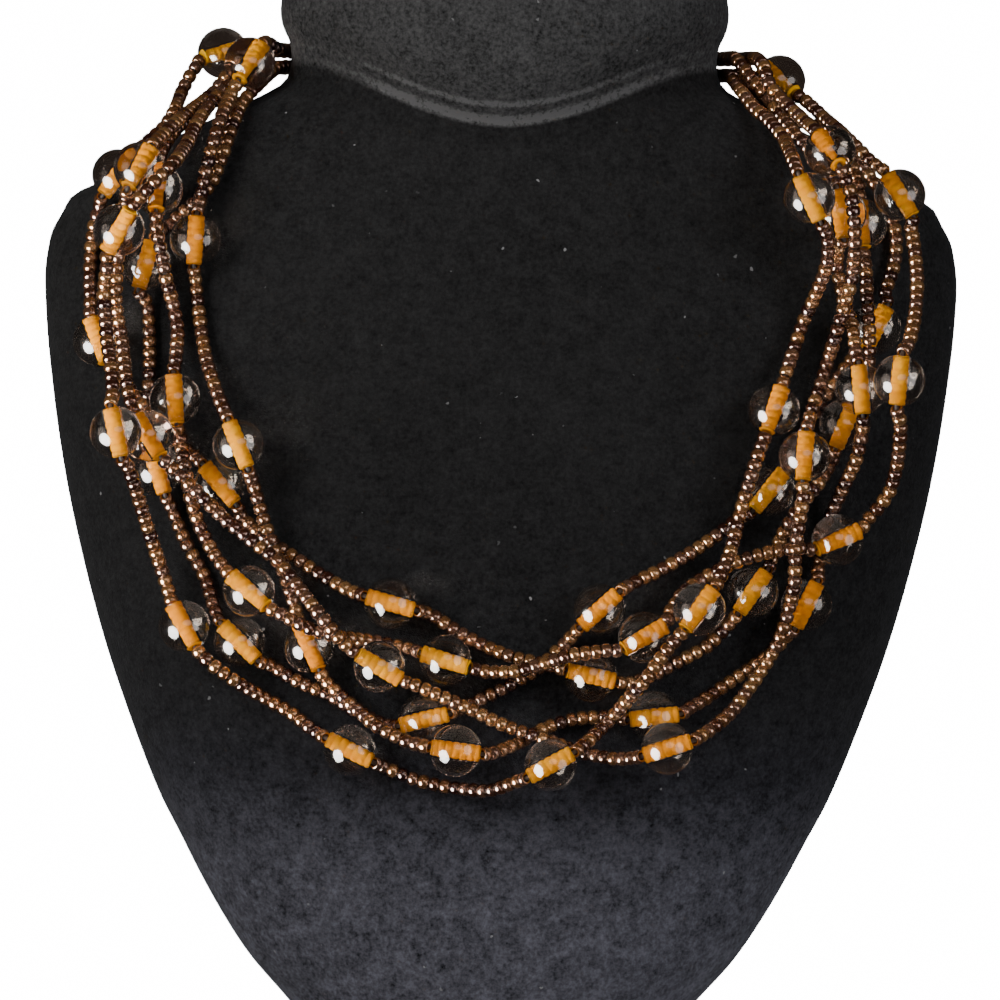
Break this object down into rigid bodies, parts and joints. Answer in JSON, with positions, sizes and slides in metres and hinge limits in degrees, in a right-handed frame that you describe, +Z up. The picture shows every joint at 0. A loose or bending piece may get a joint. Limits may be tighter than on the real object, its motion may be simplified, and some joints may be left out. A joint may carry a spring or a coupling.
{
  "type": "multi strand necklace on a neck bust",
  "caption": "Multi strand necklace of bronze seed beads with round clear beads over ribbed amber cores, joined by a clasp behind the neck, on a velvet neck bust that stands on a flat base.",
  "frame": {"origin": "middle of the bust's flat base", "axes": "+Z up through the neck, -Y towards the front of the bust, +X to the viewer's right from the front"},
  "size_m": [0.184, 0.089, 0.232],
  "materials": {
    "velvet": "black velvet with a short pile",
    "clasp_metal": "dark bronzed brass, satin",
    "seed_beads": "transparent brown glass with a bronze lustre",
    "smoky_glass": "clear, slightly smoky brown, polished",
    "amber_core": "glossy amber yellow, ribbed"
  },
  "bodies": {
    "root": {"neck_bust": "velvet", "clasp": "clasp_metal", "strand_1": "seed_beads", "strand_1_glass": "smoky_glass", "strand_1_cores": "amber_core", "strand_2": "seed_beads", "strand_2_glass": "smoky_glass", "strand_2_cores": "amber_core", "strand_3": "seed_beads", "strand_3_glass": "smoky_glass", "strand_3_cores": "amber_core", "strand_4": "seed_beads", "strand_4_glass": "smoky_glass", "strand_4_cores": "amber_core", "strand_5": "seed_beads", "strand_5_glass": "smoky_glass", "strand_5_cores": "amber_core", "strand_6": "seed_beads", "strand_6_glass": "smoky_glass", "strand_6_cores": "amber_core"}
  },
  "joints": []
}
